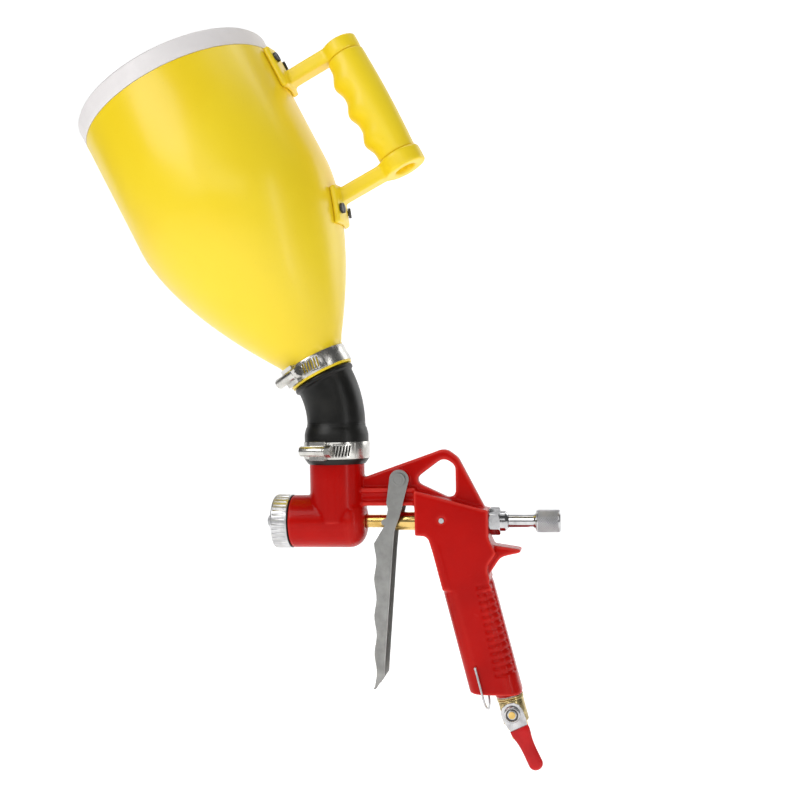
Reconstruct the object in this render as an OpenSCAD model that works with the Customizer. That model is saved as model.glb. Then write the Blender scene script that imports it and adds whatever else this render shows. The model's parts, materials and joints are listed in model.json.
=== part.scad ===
// Pneumatic hopper gun for plaster and texture: cast pistol body, air needle, trigger,
// inlet ball valve, rubber elbow and a tilted plastic hopper with lid and side handle.
// Millimetres. The casting is laid out with the needle axis along X (spray direction -X),
// Z up, Y across; everything is then moved so the air inlet's end face is the origin.

/* [Chamber] */
// Outside diameter of the material chamber
chamber_d = 41; // [38:0.5:48]
// Length of the chamber along the needle axis
chamber_len = 58.4; // [54:0.2:60]
// Wall of the chamber and of the feed tube
cast_wall = 3.5; // [2.5:0.1:4.5]
// Thickness of the chamber's rear wall, which holds the packing
rear_wall = 12; // [10:0.5:14]
// Outside diameter of the feed tube
feed_d = 42.8; // [38:0.2:46]
// Distance of the feed tube's axis behind the chamber's front face
feed_x = 35.7; // [34:0.1:37]
// Height of the feed tube's top above the needle axis
feed_top = 66; // [60:0.5:68]

/* [Nozzle] */
// Outside diameter of the knurled nozzle cap
cap_d = 42; // [40:0.5:48]
// Length of the nozzle cap
cap_len = 13.9; // [12:0.1:16]
// Diameter of the threaded spigot the cap screws onto
spigot_d = 35; // [33:0.5:36]
// Distance the nozzle cone stands out of the cap
cone_out = 6.8; // [5:0.1:8]
// Diameter of the spray orifice
orifice_d = 5; // [3:0.5:6]

/* [Needle] */
// Diameter of the hollow air needle
needle_d = 10; // [8:0.2:11]
// Diameter of the needle's bore
needle_bore = 5; // [3:0.1:6]
// Diameter of the collar that the trigger pushes
collar_d = 14; // [13:0.2:15]
// Distance of the collar's front face from the chamber's front face
collar_x = 77.2; // [76:0.1:78]
// Travel of the needle when the trigger is fully squeezed
stroke = 11.7; // [10:0.1:12]
// Extra room behind the needle that the flow adjuster can take away
adjust_room = 4.5; // [3:0.5:5]
// Wire diameter of the return spring
spring_wire = 1.4; // [1:0.1:1.5]
// Number of spring turns
spring_turns = 7; // [6:1:9]

/* [Adjuster] */
// Width across flats of the rear gland nut
gland_af = 18.5; // [17:0.5:20]
// Diameter of the adjuster screw
adjuster_d = 10; // [9:0.2:11]
// Diameter of the knurled adjuster knob
knob_d = 17.5; // [16:0.5:20]
// Length of the adjuster knob
knob_len = 18.5; // [16:0.5:22]
// Length of bare adjuster shaft between gland and knob
adjuster_gap = 21.1; // [15:0.1:24]

/* [Pistol body] */
// Lean of the grip from the vertical, in degrees
grip_tilt = 14; // [12:0.5:16]
// Depth of the grip from front to back
grip_depth = 38.8; // [36:0.2:41]
// Thickness of the grip and rear block, side to side
grip_thick = 29; // [27:0.5:32]
// Height of the grip's flat foot below the needle axis
grip_foot = 130; // [120:1:136]
// Thickness of the bridge between chamber and grip
bridge_thick = 18; // [16:0.5:18.4]
// Thickness of the hanging web
web_thick = 9; // [7:0.5:10]
// Diameter of the bore for the seals, spring and gland
rear_bore = 18; // [17:0.2:18.4]

/* [Trigger] */
// Trigger pivot's distance behind the chamber's front face
pivot_x = 86.5; // [85:0.1:88]
// Trigger pivot's height above the needle axis
pivot_z = 32.8; // [31:0.1:34]
// Diameter of the trigger pin
pin_d = 6; // [4:0.2:7]
// Thickness of the trigger's sheet metal
trigger_sheet = 1.6; // [1:0.1:2]
// Height of the trigger's tip below the needle axis
trigger_drop = 128; // [110:1:132]

/* [Inlet valve] */
// Distance of the valve body's top face from the needle axis, down the grip
valve_top = 168.4; // [165:0.2:172]
// Length of the valve body
valve_len = 21.8; // [20:0.2:24]
// Diameter of the valve body
valve_d = 19.6; // [18:0.2:20.5]
// Diameter of the male air inlet thread, a G 1/4
inlet_d = 13.16; // [12.9:0.01:13.16]
// Length of the male air inlet thread
inlet_len = 7.4; // [7:0.1:12]
// Diameter of the valve's ball
ball_d = 12.6; // [11:0.2:13]
// Bore through the ball and the fittings
valve_bore = 7; // [5:0.2:8]
// Angle of the valve lever from the valve's axis, in degrees
lever_angle = 11; // [0:1:30]
// Reach of the valve lever from its stem
lever_reach = 45; // [38:1:50]

/* [Elbow] */
// Outside diameter of the rubber elbow's tube
elbow_d = 45.4; // [44:0.2:47]
// Inside diameter of the rubber elbow
elbow_bore = 35; // [32:0.5:36]
// Bend radius of the elbow
elbow_bend = 73; // [65:1:80]
// Angle the elbow turns the hopper towards the front
hopper_tilt = 27; // [22:0.5:30]
// Outside diameter of the elbow's cup over the feed tube
cup_d = 50; // [48:0.2:52]
// Height of the cup's bottom edge above the needle axis
cup_bottom = 44.9; // [43:0.1:46]
// Height of the cup's shoulder above the needle axis
cup_top = 76; // [75:0.5:80]

/* [Hopper] */
// Outside diameter of the hopper's neck
neck_d = 50.8; // [50:0.2:54]
// Length of the hopper's neck
neck_len = 17.4; // [16:0.2:20]
// Outside diameter of the hopper's straight part
hopper_d = 164; // [150:1:185]
// Length of the hopper along its axis, lid included
hopper_len = 262; // [240:1:300]
// Length from the neck's lip to where the sides run straight
shoulder_len = 150; // [130:1:160]
// Wall of the hopper
hopper_wall = 2.8; // [2:0.1:4]
// Height of the lid's skirt
lid_skirt = 16; // [12:0.5:20]
// Wall of the lid
lid_wall = 2.2; // [1.6:0.1:3]

/* [Hopper handle] */
// Height of the upper arm's middle above the neck's lip, along the hopper
arm_high = 218.5; // [210:0.5:222]
// Height of the lower arm's middle above the neck's lip, along the hopper
arm_low = 116.2; // [112:0.5:120]
// Thickness of the arms
arm_thick = 11; // [9:0.5:13]
// Width of the arms, side to side
arm_width = 16; // [12:0.5:20]
// Distance of the grip's axis from the hopper's axis
grip_reach = 133.4; // [125:0.5:150]
// Diameter of the grip sleeve
sleeve_d = 32.4; // [29:0.2:36]
// Thickness of the feet against the hopper
foot_thick = 5; // [3:0.5:6]
// Half width of the feet
foot_half = 18; // [16:0.5:20]

/* [Clamps] */
// Width of the worm-drive clamp bands
band_w = 13; // [9:0.5:13.5]
// Thickness of the clamp bands
band_t = 0.8; // [0.6:0.1:1.2]

/* [Clearances] */
// Radial gap of a shaft turning or sliding in its hole
run_gap = 0.05; // [0.02:0.01:0.1]
// Gap between seated faces of pieces held together
seat_gap = 0.02; // [0.01:0.01:0.05]
// Gap between moving faces that don't guide each other
free_gap = 0.4; // [0.3:0.05:0.5]

/* [Hidden] */
$fn = 64;
eps = 0.01;

chamber_r = chamber_d / 2;
needle_r = needle_d / 2;
collar_r = collar_d / 2;
grip_r = grip_thick / 2;
// Vertical faces of the notch that the collar crosses, and of the block's rear end
notch_rear = 98.3;
block_rear = 154.6;
bridge_low = 12.4;
bridge_high = 26.3;
// Bore behind the notch: a guide for the collar, then the wider seal and spring chamber
guide_end = 110;
seal_len = 3;
retainer_len = 8.4;
// Pieces on the needle, front to rear
needle_tip = -cap_len - 1.6;
collar_len = 38.8;
collar_end = collar_x + collar_len;
needle_end = collar_end + 17;
seat_x = needle_end + stroke + adjust_room;
seat_flange = 2.5;
gland_spigot = 8;
gland_hex_len = 8.2;
gland_neck_len = 5.8;
gland_end = block_rear + gland_hex_len + gland_neck_len;
knob_x = gland_end + adjuster_gap;
screw_x = seat_x + seat_flange + run_gap;
spring_r = collar_r - 0.2;
// Packing gland inside the chamber's rear wall
packing_r = 8;
packing_len = 5;
nut_thread = 6;
nut_hex = 3;
front_bore_r = 14;
chamber_back = chamber_len - rear_wall;
// Grip frame: n runs rearwards across the grip, s down it; both start on the needle axis
grip_front = 102;
grip_rear = grip_front + grip_depth;
valve_n = grip_rear - 10.6;
ball_s = valve_top + 11.8;
valve_end = valve_top + valve_len;
collar_step = 3.4;
inlet_end = valve_end + collar_step + inlet_len;
inlet_point = [valve_n * cos(grip_tilt) + inlet_end * sin(grip_tilt), 0,
               valve_n * sin(grip_tilt) - inlet_end * cos(grip_tilt)];
thread_r = inlet_d / 2;
// Valve stem pieces, measured from the grip's middle plane towards the near side
bonnet_y = 12;
plate_y = 12.4;
plate_t = 1.5;
nut_y = plate_y + plate_t + seat_gap;
nut_t = 2.6;
stem_end = nut_y + nut_t + 0.8;
// Trigger channel
cheek_in = bridge_thick / 2 + 0.3 + free_gap;
cheek_out = cheek_in + trigger_sheet;
strap_r = 7.6;
nose_r = 2.5;
nose_x = collar_x - 0.3 - nose_r;
slot_half = collar_r + free_gap;
nose_in = needle_r + free_gap;
// Wire bail: pivot hole in grip coordinates, and the loop
bail_n = 112.4;
bail_s = 140.4;
bail_wire = 1.7;
bail_leg = 23;
bail_drop = 34.5;
bail_half = grip_r + 0.5 + bail_wire;
// Hopper frame: u runs up the hopper's axis from the neck's lip, w rearwards across it
bead_h = 4.6;
lip_gap = 0.5;
bend_end = [feed_x - elbow_bend * (1 - cos(hopper_tilt)), 0, cup_top + elbow_bend * sin(hopper_tilt)];
lip_point = bend_end + (bead_h + lip_gap) * [-sin(hopper_tilt), 0, cos(hopper_tilt)];
hopper_r = hopper_d / 2;
neck_r = neck_d / 2;
flare_u = neck_len + 5;
flare_drop = hopper_r - neck_r - 2.8;
rim_low = hopper_len - lid_skirt;
rim_r = hopper_r - lid_wall - 0.3;
rim_top = hopper_len - lid_wall - 1;
grip_low = arm_low + arm_thick / 2 + 1;
grip_high = arm_high - arm_thick / 2 - 1;
screw_high = 235;
screw_low = 107;
screw_side = 11.5;
screw_r = 2;

// Hopper's outer radius at height u: neck, short flare, then a curve that ends straight
function flare(u) = hopper_r - flare_drop * pow(max(0, (shoulder_len - u) / (shoulder_len - flare_u)), 1.62);
function hopper_at(u) = u < neck_len ? neck_r : u < flare_u
    ? neck_r + (flare(flare_u) - neck_r) * (u - neck_len) / (flare_u - neck_len) : flare(u);
flare_steps = 22;
flare_us = [for (i = [0:flare_steps]) flare_u + (shoulder_len - flare_u) * i / flare_steps];
// Trigger's wavy front edge: a slightly leaning line with finger waves
function wave(z) = 66.6 + 0.0133 * (z + 50) + 0.9 * cos(360 * (z + 58) / 28.5);
function unit(v) = v / norm(v);
function flat(p) = [p[0], p[1]];
function arc_corner(a, b, c, r, n) = r <= 0 ? [b] :
    let (u = unit(a - b), v = unit(c - b), half = acos(u * v) / 2, m = unit(u + v),
         mid = b + m * r / sin(half), s = b + u * r / tan(half), e = b + v * r / tan(half),
         a0 = atan2(s[1] - mid[1], s[0] - mid[0]), a1 = atan2(e[1] - mid[1], e[0] - mid[0]),
         turn = (a1 - a0 + 540) % 360 - 180)
    [for (i = [0:n]) mid + r * [cos(a0 + turn * i / n), sin(a0 + turn * i / n)]];
// Polygon with each corner [x, z, radius] rounded
function rounded(p, n = 4) = [for (i = [0:len(p) - 1])
    each arc_corner(flat(p[(i + len(p) - 1) % len(p)]), flat(p[i]), flat(p[(i + 1) % len(p)]), p[i][2], n)];

// Puts the gun's own frame on the air inlet's end face
module at_inlet() { translate(-inlet_point) children(); }
module at_hopper() { at_inlet() translate(lip_point) rotate([0, -hopper_tilt, 0]) children(); }
module at_grip() { at_inlet() rotate([0, -grip_tilt, 0]) children(); }
// Solid or tube along +X from x0 to x1
module rod(x0, x1, r, bore = 0) {
    translate([x0, 0, 0]) rotate([0, 90, 0]) difference() {
        cylinder(h = x1 - x0, r = r);
        if (bore > 0) translate([0, 0, -1]) cylinder(h = x1 - x0 + 2, r = bore);
    }
}
// Solid or tube along +Z from z0 to z1
module post(z0, z1, r, bore = 0) {
    translate([0, 0, z0]) difference() {
        cylinder(h = z1 - z0, r = r);
        if (bore > 0) translate([0, 0, -1]) cylinder(h = z1 - z0 + 2, r = bore);
    }
}
// Solid or tube across the gun, from side position y0 to y1
module across(y0, y1, r, bore = 0) {
    translate([0, y0, 0]) rotate([-90, 0, 0]) difference() {
        cylinder(h = y1 - y0, r = r);
        if (bore > 0) translate([0, 0, -1]) cylinder(h = y1 - y0 + 2, r = bore);
    }
}
// Side outline in X and Z, as a plate centred on the middle plane
module plate(points, t) { rotate([90, 0, 0]) linear_extrude(t, center = true) polygon(points); }
// Hexagon bar along +X
module hex_x(x0, x1, af) { translate([x0, 0, 0]) rotate([0, 90, 0]) cylinder(h = x1 - x0, d = af / cos(30), $fn = 6); }

/* ---- casting ---- */
web_outline = rounded([[52, 30, 0], [58.4, 34.6, 0], [111.5, 52.8, 12], [121.5, 56.5, 9], [131.5, 49, 10],
                       [151.6, 9.9, 0], [150, 0, 0], [60, 20, 0]]);
web_window = rounded([[120.2, 49.2, 7], [129, 43, 5], [129, 19.5, 4], [123, 18.6, 2], [96, 31.5, 4]]);
block_outline = rounded([[97.8, 24.6, 0], [151.6, 9.9, 0], [block_rear, 9.4, 0], [block_rear, -12, 2],
                         [160, -23, 0], [152.6, -34, 9], [157.4, -52, 0], [119, -52, 0],
                         [112, -24, 12], [108, -10.5, 5], [notch_rear, -9.9, 0], [notch_rear, bridge_low, 0],
                         [97.8, bridge_low, 0]]);
spur_outline = rounded([[152, -10, 0], [155.2, -17, 4], [178.8, -20.6, 1.2], [178.2, -23, 1], [163, -26.4, 9],
                        [152.5, -42, 0], [140, -30, 0]]);

module bridge() {
    x0 = chamber_len - 8;
    flange = 3.2;
    for (z = [[bridge_low, bridge_low + flange], [bridge_high - flange, bridge_high]])
        plate([[x0, z[0]], [98.4, z[0]], [98.4, z[1]], [x0, z[1]]], bridge_thick);
    plate([[x0, bridge_low], [98.4, bridge_low], [98.4, bridge_high], [x0, bridge_high]], bridge_thick - 5);
}

module grip_bar() {
    // rounded bar down the grip, cut level at the foot, and the valve's round boss
    round_r = 11;
    intersection() {
        rotate([0, -grip_tilt, 0]) translate([0, 0, seat_gap - valve_top]) linear_extrude(valve_top - 30) {
            for (n = [grip_front + round_r, grip_rear - round_r], y = [grip_r - round_r, round_r - grip_r])
                translate([n, y]) circle(round_r);
            translate([grip_front + round_r, -grip_r]) square([grip_depth - 2 * round_r, grip_thick]);
            translate([grip_front, round_r - grip_r]) square([grip_depth, grip_thick - 2 * round_r]);
        }
        translate([80, -30, -grip_foot]) cube([140, 60, grip_foot - 45]);
    }
    rotate([0, -grip_tilt, 0]) translate([valve_n, 0, 0]) post(-valve_top + seat_gap, -110, 10.6);
}

module body_shape() {
    // chamber with a rounded rear end, feed tube, bridge, web, block, spur and grip
    rear_round = 13;
    rotate([0, 90, 0]) rotate_extrude() polygon(rounded([[0, 0, 0], [chamber_r, 0, 0],
        [chamber_r, chamber_len, rear_round], [0, chamber_len, 0]], 8));
    translate([feed_x, 0, 0]) post(0, feed_top, feed_d / 2);
    rod(-9.5, 1, spigot_d / 2);
    bridge();
    plate(web_outline, web_thick);
    translate([pivot_x, 0, pivot_z]) across(-bridge_thick / 2 - 0.3, bridge_thick / 2 + 0.3, 7);
    plate(block_outline, grip_thick);
    plate(spur_outline, 20);
    grip_bar();
}

module gun_body() {
    chamber_bore = chamber_r - cast_wall;
    bore_r = rear_bore / 2;
    color("#c81414") at_inlet() difference() {
        body_shape();
        // material chamber and feed tube
        rod(-10, chamber_back - nut_thread, front_bore_r);
        rod(4, chamber_back - nut_thread, chamber_bore);
        translate([feed_x, 0, 0]) post(packing_r + 5, feed_top + 1, feed_d / 2 - cast_wall);
        // packing seat and needle passage in the rear wall
        rod(chamber_back - nut_thread - 1, chamber_back + packing_len, packing_r + seat_gap);
        rod(chamber_back, chamber_len + 1, needle_r + 0.3);
        // collar guide, then the seal, spring and gland chamber
        rod(notch_rear - 1, guide_end + 1, collar_r + run_gap);
        rod(guide_end, block_rear + 1, bore_r + seat_gap);
        plate(web_window, 60);
        translate([pivot_x, 0, pivot_z]) across(-20, 20, pin_d / 2 + seat_gap);
        translate([119, 0, 1.6]) across(-grip_r - 1, 0, 2 + seat_gap);
        // air passage, valve thread and bail hole
        rotate([0, -grip_tilt, 0]) {
            translate([valve_n, 0, 0]) post(-valve_top - 1, -33, 3.5);
            translate([valve_n, 0, 0]) post(-valve_top - 1, -valve_top + 12, thread_r + seat_gap);
            translate([bail_n, 0, -bail_s]) across(-grip_r - 1, grip_r + 1, bail_wire / 2 + run_gap);
        }
    }
}

/* ---- nozzle ---- */
module cap_seal_ring() {
    color("black") at_inlet() rod(-0.7, -seat_gap, chamber_r + 0.2, spigot_d / 2 + seat_gap);
}
module nozzle_cap() {
    flutes = 36;
    front_wall = 2.6;
    hole_r = 12;
    color("silver") at_inlet() difference() {
        rotate([0, -90, 0]) rotate_extrude() polygon(rounded([[0, 0.75, 0], [cap_d / 2, 0.75, 0.4],
            [cap_d / 2, cap_len, 1.4], [0, cap_len, 0]], 3));
        rod(-cap_len + front_wall, 0, spigot_d / 2 + run_gap);
        rod(-cap_len - 1, 0, hole_r);
        for (i = [0:flutes - 1]) rotate([i * 360 / flutes, 0, 0]) translate([0, 0, cap_d / 2 + 0.5])
            rod(-cap_len + 1.6, -2, 1.1, 0);
    }
}
module nozzle_insert() {
    // flange under the cap's wall, a step through its hole and a cone to the orifice
    tip = cap_len + cone_out;
    seat = cap_len - 2.6;
    color("#d8d8dc") at_inlet() rotate([0, -90, 0]) rotate_extrude()
        polygon([[10.5, 9.5 + seat_gap], [spigot_d / 2 - 0.3, 9.5 + seat_gap],
                 [spigot_d / 2 - 0.3, seat - seat_gap], [12 - 0.15, seat - seat_gap], [12 - 0.15, cap_len + 0.6],
                 [11, cap_len + 0.9], [orifice_d / 2 + 1.2, tip - 0.2], [orifice_d / 2 + 0.9, tip],
                 [orifice_d / 2, tip], [orifice_d / 2, cap_len + 3.4], [10.5, cap_len - 1.2]]);
}

/* ---- needle line ---- */
module air_needle() {
    color("#c9a23c") at_inlet() difference() {
        rotate([0, 90, 0]) rotate_extrude() polygon([[0, needle_tip], [orifice_d / 2 + 0.6, needle_tip],
            [needle_r, needle_tip + 4], [needle_r, needle_end], [0, needle_end]]);
        rod(needle_tip - 1, needle_end - 8, needle_bore / 2);
        translate([needle_end - 12, 0, 0]) across(-needle_r - 1, needle_r + 1, 1.5);
    }
}
module needle_collar() {
    color("#b98d2c") at_inlet() rod(collar_x, collar_end, collar_r, needle_r + seat_gap);
}
module front_packing() {
    color("#e8e4d8") at_inlet() rod(chamber_back + 0.1, chamber_back + packing_len - seat_gap, packing_r,
                                    needle_r + run_gap);
}
module packing_nut() {
    color("#c9a23c") at_inlet() difference() {
        union() {
            rod(chamber_back - nut_thread - 1, chamber_back, packing_r);
            hex_x(chamber_back - nut_thread - nut_hex, chamber_back - nut_thread - seat_gap, 20);
        }
        rod(chamber_back - 10, chamber_back + 1, needle_r + 0.3);
    }
}
module collar_seal() {
    color("#202020") at_inlet() rod(guide_end + seat_gap, guide_end + seal_len - seat_gap, rear_bore / 2,
                                    collar_r + run_gap);
}
module seal_retainer() {
    color("#c9a23c") at_inlet() rod(guide_end + seal_len, guide_end + seal_len + retainer_len, rear_bore / 2,
                                    collar_r + 0.1);
}
module retainer_pin() {
    color("silver") at_inlet() translate([119, 0, 1.6]) across(-grip_r - 0.1, -rear_bore / 2 - 0.1, 2);
}
// Coil spring along X: rings of a round wire turned along the helix
module return_spring() {
    x0 = collar_end + spring_wire / 2 + run_gap;
    x1 = seat_x - spring_wire / 2 - run_gap;
    sides = 8;
    per_turn = 14;
    rings = spring_turns * per_turn;
    mean = spring_r - spring_wire / 2;
    points = [for (i = [0:rings], j = [0:sides - 1])
        let (a = 360 * i / per_turn, b = 360 * j / sides, r = mean + spring_wire / 2 * cos(b))
        [x0 + (x1 - x0) * i / rings + spring_wire / 2 * sin(b), r * cos(a), r * sin(a)]];
    faces = concat([[for (j = [0:sides - 1]) j]],
        [for (i = [0:rings - 1], j = [0:sides - 1])
            let (k = (j + 1) % sides) [i * sides + j, (i + 1) * sides + j, (i + 1) * sides + k, i * sides + k]],
        [[for (j = [sides - 1:-1:0]) rings * sides + j]]);
    color("#9a9aa0") at_inlet() polyhedron(points, faces);
}
module spring_seat() {
    color("#c9a23c") at_inlet() {
        rod(seat_x, seat_x + seat_flange, rear_bore / 2 - 1 - run_gap - 0.1);
        rod(seat_x - 2, seat_x + eps, needle_r - 0.5);
    }
}
module gland_nut() {
    color("silver") at_inlet() difference() {
        union() {
            rod(block_rear - gland_spigot, block_rear + 1, rear_bore / 2);
            intersection() {
                hex_x(block_rear + seat_gap, block_rear + gland_hex_len, gland_af);
                rotate([0, 90, 0]) rotate_extrude() polygon([[0, block_rear], [gland_af / 2 + 0.4, block_rear],
                    [gland_af / 2 + 1.4, block_rear + 1], [gland_af / 2 + 1.4, block_rear + gland_hex_len - 1],
                    [gland_af / 2 + 0.2, block_rear + gland_hex_len], [0, block_rear + gland_hex_len]]);
            }
            rotate([0, 90, 0]) rotate_extrude() polygon([[0, block_rear + 4],
                [gland_af / 2 - 1.4, block_rear + 4], [gland_af / 2 - 1.4, gland_end - 2],
                [gland_af / 2 - 3, gland_end], [0, gland_end]]);
        }
        rod(block_rear - gland_spigot - 1, block_rear + 4, rear_bore / 2 - 1);
        rod(block_rear, gland_end + 1, adjuster_d / 2 + run_gap);
        rod(block_rear + 7, block_rear + 9.4, adjuster_d / 2 + 1.8);
    }
}
module gland_oring() {
    color("#202020") at_inlet() rod(block_rear + 7.1, block_rear + 9.3, adjuster_d / 2 + 1.7,
                                    adjuster_d / 2 + run_gap);
}
module adjuster_screw() {
    color("silver") at_inlet() difference() {
        union() {
            rod(screw_x, knob_x + 1, adjuster_d / 2);
            rotate([0, 90, 0]) rotate_extrude() polygon([[0, knob_x - 2], [adjuster_d / 2, knob_x - 2],
                [adjuster_d / 2 + 1.2, knob_x], [0, knob_x]]);
        }
        rod(screw_x - 1, screw_x + 3, 1.5);
    }
}
module adjuster_knob() {
    ridges = 40;
    color("silver") at_inlet() difference() {
        rotate([0, 90, 0]) rotate_extrude() polygon(rounded([[0, knob_x + seat_gap, 0],
            [knob_d / 2, knob_x + seat_gap, 0.8], [knob_d / 2, knob_x + knob_len, 0.8], [0, knob_x + knob_len, 0]], 3));
        rod(knob_x - 1, knob_x + 1 + seat_gap, adjuster_d / 2 + seat_gap);
        for (i = [0:ridges - 1]) rotate([i * 360 / ridges, 0, 0]) translate([0, 0, knob_d / 2 + 0.25])
            rod(knob_x + 1.4, knob_x + knob_len - 1.4, 0.6, 0);
    }
}

/* ---- trigger ---- */
cheek_outline = concat(
    [for (i = [0:12]) let (a = -6 + 190 * i / 12) [pivot_x + strap_r * cos(a), pivot_z + strap_r * sin(a)]],
    [[76.4, 14.8], [77.6, 10.2], [75, -2]],
    [for (i = [0:28]) let (z = -16 - i * (trigger_drop - 18) / 28) [wave(z), z]],
    [[63.6, -trigger_drop], [65.6, -trigger_drop], [72.2, 9.6 - trigger_drop], [72.8, 18 - trigger_drop],
     [80.6, -20], [82.1, -6.4], [86.4, 4.2], [88.6, 12.5]]);
// Front strip of the channel below the needle, following the cheeks' front edge
strip_front = concat([[71.2, -8]],
    [for (i = [0:28]) let (z = -16 - i * (trigger_drop - 18) / 28) [wave(z), z]], [[63.6, -trigger_drop]]);
strip_outline = concat(strip_front,
    [for (i = [len(strip_front) - 1:-1:0]) strip_front[i] + [trigger_sheet, 0]]);
// The strip forks past the needle: one leg inside each cheek
fork_outline = [[77.6, 10.2], [75, -2], [71.2, -8], [71.2 + trigger_sheet, -8], [75 + trigger_sheet, -2],
                [77.6 + trigger_sheet, 10.2]];

module trigger() {
    leg = cheek_in - slot_half;
    color("#8c8c8c") at_inlet() difference() {
        union() {
            for (y = [-1, 1]) {
                translate([0, y * (cheek_in + trigger_sheet / 2), 0]) plate(cheek_outline, trigger_sheet);
                translate([0, y * (slot_half + leg / 2), 0]) plate(fork_outline, leg + eps);
                translate([nose_x, y * (nose_in + cheek_in) / 2, 0])
                    across((nose_in - cheek_in) / 2, (cheek_in - nose_in) / 2, nose_r);
            }
            plate(strip_outline, 2 * cheek_in + eps);
        }
        translate([pivot_x, 0, pivot_z]) across(-20, 20, pin_d / 2 + run_gap);
    }
}
module trigger_pin() {
    color("#a8a49c") at_inlet() translate([pivot_x, 0, pivot_z]) difference() {
        union() {
            across(-cheek_out - 1.8, -cheek_out - 0.15, 5);
            across(-cheek_out - 0.2, cheek_out + 2.4, pin_d / 2);
        }
        across(cheek_out + 0.25, cheek_out + 1.35, pin_d / 2 + 1, pin_d / 2 - 0.6);
        across(-cheek_out - 2, -cheek_out - 1.5, 3.8, 2.9);
    }
}
module pin_circlip() {
    color("#707074") at_inlet() translate([pivot_x, 0, pivot_z]) difference() {
        across(cheek_out + 0.3, cheek_out + 1.3, pin_d / 2 + 1.8, pin_d / 2 - 0.55);
        translate([-1.6, 0, 0]) cube([3.2, 60, 20]);
    }
}

/* ---- inlet valve, in the grip's frame ---- */
module valve_frame() { at_grip() translate([valve_n, 0, 0]) children(); }
module valve_gasket() {
    color("#e8e4d8") valve_frame() post(-valve_top - 0.6, -valve_top, 9.4, thread_r + 0.05);
}
module valve_body() {
    top = -valve_top - 0.6 - seat_gap;
    color("#b8a264") valve_frame() difference() {
        union() {
            post(top, -valve_top + 10, thread_r);
            rotate_extrude() polygon([[0, top], [valve_d / 2 + 0.6, top], [valve_d / 2 + 0.6, top - 0.9],
                [valve_d / 2 - 0.4, top - 1.3], [valve_d / 2 + 0.5, top - 1.7], [valve_d / 2 + 0.5, top - 2.5],
                [valve_d / 2 - 0.4, top - 2.9], [valve_d / 2, top - 3.4], [valve_d / 2, 1.4 - valve_end],
                [valve_d / 2 - 1.4, -valve_end], [0, -valve_end]]);
            translate([0, 0, -ball_s]) across(-bonnet_y, 0, 6);
        }
        post(-ball_s - 40, -valve_top + 11, valve_bore / 2);
        post(-valve_end - 1, -ball_s + ball_d / 2 + 0.7, ball_d / 2 + 0.4);
        translate([0, 0, -ball_s]) across(-bonnet_y - 1, 0, 2.6 + run_gap);
        translate([0, 0, -ball_s]) across(-bonnet_y + 0.6, -bonnet_y + 3.2, 4);
    }
}
module valve_inlet() {
    color("#c9a23c") valve_frame() difference() {
        union() {
            post(-valve_end + seat_gap, -ball_s - ball_d / 2 - 0.7, ball_d / 2 + 0.38);
            post(-valve_end - collar_step, -valve_end - seat_gap, valve_d / 2 - 1.9);
            post(-inlet_end, -valve_end - collar_step, thread_r);
            post(-valve_end - 0.1, -valve_end + 0.1, ball_d / 2);
        }
        post(-inlet_end - 1, 0, valve_bore / 2);
    }
}
module valve_seats() {
    seat_h = 2.4;
    color("#f2f0ea") valve_frame() for (side = [-1, 1]) difference() {
        translate([0, 0, -ball_s + side * (ball_d / 2 + 0.66 - seat_h / 2)])
            cylinder(h = seat_h, r = ball_d / 2 + 0.36, center = true);
        translate([0, 0, -ball_s]) sphere(r = ball_d / 2 + 0.08);
        translate([0, 0, -ball_s]) cylinder(h = 30, r = valve_bore / 2 + 0.3, center = true);
    }
}
// Ball, stem and lever turn together, at the lever's angle from the valve's axis
module lever_frame() { valve_frame() translate([0, 0, -ball_s]) rotate([0, -lever_angle, 0]) children(); }
module valve_ball() {
    color("#d0d0d4") lever_frame() difference() {
        sphere(r = ball_d / 2);
        cylinder(h = 30, r = valve_bore / 2, center = true);
        translate([-1.6, -ball_d / 2 - 1, -10]) cube([3.2, 2.6, 20]);
    }
}
module valve_stem() {
    color("#c9a23c") lever_frame() {
        across(-stem_end, -ball_d / 2 - 0.1, 2.6);
        translate([-1.4, -ball_d / 2 - 0.2, -2]) cube([2.8, 1.4, 4]);
    }
}
module stem_packing() {
    color("#f2f0ea") valve_frame() translate([0, 0, -ball_s]) across(-bonnet_y + 0.65, -bonnet_y + 3.15, 3.95,
                                                                     2.6 + run_gap);
}
lever_plate_outline = [[-8.4, 0], [-7.6, 4.4], [-4.6, 7.4], [0, 8.6], [4.6, 7.4], [7.6, 4.4], [8.4, 0],
                       [7.9, -7], [6.7, -12], [4.6, -20], [4.2, -lever_reach + 5], [2, -lever_reach + 3],
                       [-2, -lever_reach + 3], [-4.2, -lever_reach + 5], [-4.6, -20], [-6.7, -12], [-7.9, -7]];
module valve_lever() {
    color("#d8d8dc") lever_frame() difference() {
        translate([0, -plate_y - plate_t / 2, 0]) plate(lever_plate_outline, plate_t);
        across(-20, 0, 2.6 + seat_gap);
    }
}
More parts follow.
